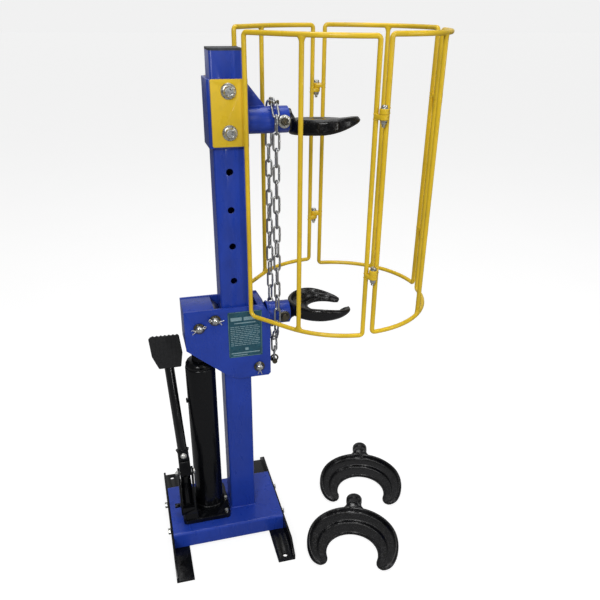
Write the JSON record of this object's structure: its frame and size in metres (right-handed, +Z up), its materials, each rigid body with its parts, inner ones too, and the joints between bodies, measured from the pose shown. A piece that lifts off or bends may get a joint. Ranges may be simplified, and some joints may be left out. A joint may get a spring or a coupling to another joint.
{
  "type": "coil spring compressor",
  "caption": "Foot-pumped upright compressor for coil springs: post on a base tray, ram-lifted carriage, forked yokes, wire safety cage, chain and spare yokes.",
  "frame": {"origin": "bottom centre of the whole object on the floor, including the spare yokes that lie beside the base", "axes": "+X from the post towards the cage and yoke mouths, +Y away from the front of the machine, +Z up along the post"},
  "size_m": [0.6312, 0.4836, 1.1284],
  "materials": {
    "blue_paint": "gloss enamel on folded sheet and tube",
    "yellow_paint": "gloss enamel on bent wire",
    "black_paint": "satin gloss enamel",
    "cast_black": "gloss paint over a cast surface",
    "zinc": "bright zinc plate",
    "rod_black": "ground and blackened",
    "bare_steel": "turned, bare",
    "cap_plastic": "moulded, matte",
    "pad_rubber": "moulded ribs",
    "label": "printed film"
  },
  "bodies": {
    "stand": {"base_tray": "blue_paint", "left_foot_angle": "black_paint", "right_foot_angle": "black_paint", "left_foot_bolt_front": "zinc", "left_foot_bolt_rear": "zinc", "right_foot_bolt_front": "zinc", "right_foot_bolt_rear": "zinc", "post": "blue_paint", "post_cap": "cap_plastic", "upper_sleeve": "blue_paint", "upper_arm_tube": "blue_paint", "upper_arm_gusset": "blue_paint", "cage_plate_front": "yellow_paint", "cage_plate_rear": "yellow_paint", "sleeve_bolt_lower": "zinc", "sleeve_bolt_upper": "zinc", "ram_base_block": "black_paint", "ram_base_bolt_front": "zinc", "ram_base_bolt_rear": "zinc", "ram_cylinder": "black_paint", "ram_gland": "black_paint", "ram_filler_plug": "pad_rubber", "upper_lock_bolt": "zinc", "cage_panel_front_left": "yellow_paint", "cage_panel_rear_left": "yellow_paint", "front_hinge_bolt_lower": "zinc", "rear_hinge_bolt_lower": "zinc", "front_hinge_bolt_upper": "zinc", "rear_hinge_bolt_upper": "zinc", "safety_chain": "zinc", "pump_barrel": "black_paint", "pedal_pivot_pin": "zinc"},
    "carriage": {"carriage_front_plate": "blue_paint", "carriage_rear_plate": "blue_paint", "carriage_left_web": "blue_paint", "carriage_right_web": "blue_paint", "ram_clevis_pin": "zinc", "upper_roller_pin": "zinc", "lower_roller_pin": "zinc", "rating_label": "label", "lower_arm_tube": "blue_paint", "lower_lock_bolt": "zinc", "ram_rod": "rod_black"},
    "roller_above": {"upper_roller": "bare_steel"},
    "roller_below": {"lower_roller": "bare_steel"},
    "yoke_above": {"upper_yoke": "cast_black"},
    "yoke_below": {"lower_yoke": "cast_black"},
    "front_door": {"cage_door_front_right": "yellow_paint"},
    "rear_door": {"cage_door_rear_right": "yellow_paint", "latch_bolt_lower": "zinc", "latch_bolt_upper": "zinc"},
    "pedal": {"pedal_socket": "black_paint", "pedal_arm": "black_paint", "pedal_pad": "pad_rubber"},
    "plunger": {"pump_piston": "bare_steel"},
    "valve": {"release_valve_screw": "bare_steel"},
    "rear_spare": {"rear_spare_yoke": "cast_black"},
    "front_spare": {"front_spare_yoke": "cast_black"}
  },
  "joints": [
    {"name": "carriage_lift", "type": "slide", "parent": "stand", "child": "carriage", "axis": [0, 0, 1], "range_m": [0, 0.3]},
    {"name": "upper_roller_turn", "type": "hinge", "parent": "carriage", "child": "roller_above", "pos_m": [-0.17258, 0.03557, 0.576], "axis": [0, 1, 0], "range_deg": [0, 1095]},
    {"name": "lower_roller_turn", "type": "hinge", "parent": "carriage", "child": "roller_below", "pos_m": [-0.08057, 0.03557, 0.452], "axis": [0, -1, 0], "range_deg": [0, 1095]},
    {"name": "upper_yoke_swivel", "type": "hinge", "parent": "stand", "child": "yoke_above", "pos_m": [-0.01957, 0.03557, 0.969], "axis": [1, 0, 0], "range_deg": [-10.5, 19.5]},
    {"name": "lower_yoke_swivel", "type": "hinge", "parent": "carriage", "child": "yoke_below", "pos_m": [-0.01957, 0.03557, 0.561], "axis": [1, 0, 0], "range_deg": [-15, 15]},
    {"name": "front_door_hinge", "type": "hinge", "parent": "stand", "child": "front_door", "pos_m": [0.10942, -0.16243, 0.85], "axis": [0, 0, -1], "range_deg": [0, 110]},
    {"name": "rear_door_hinge", "type": "hinge", "parent": "stand", "child": "rear_door", "pos_m": [0.10942, 0.23357, 0.85], "axis": [0, 0, 1], "range_deg": [0, 110]},
    {"name": "pedal_swing", "type": "hinge", "parent": "stand", "child": "pedal", "pos_m": [-0.26258, -0.02143, 0.205], "axis": [-1, 0, 0], "range_deg": [0, 40]},
    {"name": "pump_plunger", "type": "slide", "parent": "stand", "child": "plunger", "axis": [0, 0, 1], "range_m": [-0.0117, 0]},
    {"name": "release_valve_turn", "type": "hinge", "parent": "stand", "child": "valve", "pos_m": [-0.27658, 0.01957, 0.072], "axis": [1, 0, 0], "range_deg": [-180, 180]},
    {"name": "rear_spare_lift", "type": "slide", "parent": "stand", "child": "rear_spare", "axis": [0, 0, 1], "range_m": [0, 0.2]},
    {"name": "front_spare_lift", "type": "slide", "parent": "stand", "child": "front_spare", "axis": [0, 0, 1], "range_m": [0, 0.2]}
  ],
  "couplings": [
    {"joint": "upper_roller_turn", "follows": "carriage_lift", "rad_per_m": 63.694},
    {"joint": "lower_roller_turn", "follows": "carriage_lift", "rad_per_m": 63.694},
    {"joint": "pump_plunger", "follows": "pedal_swing", "m_per_rad": -0.01666}
  ]
}
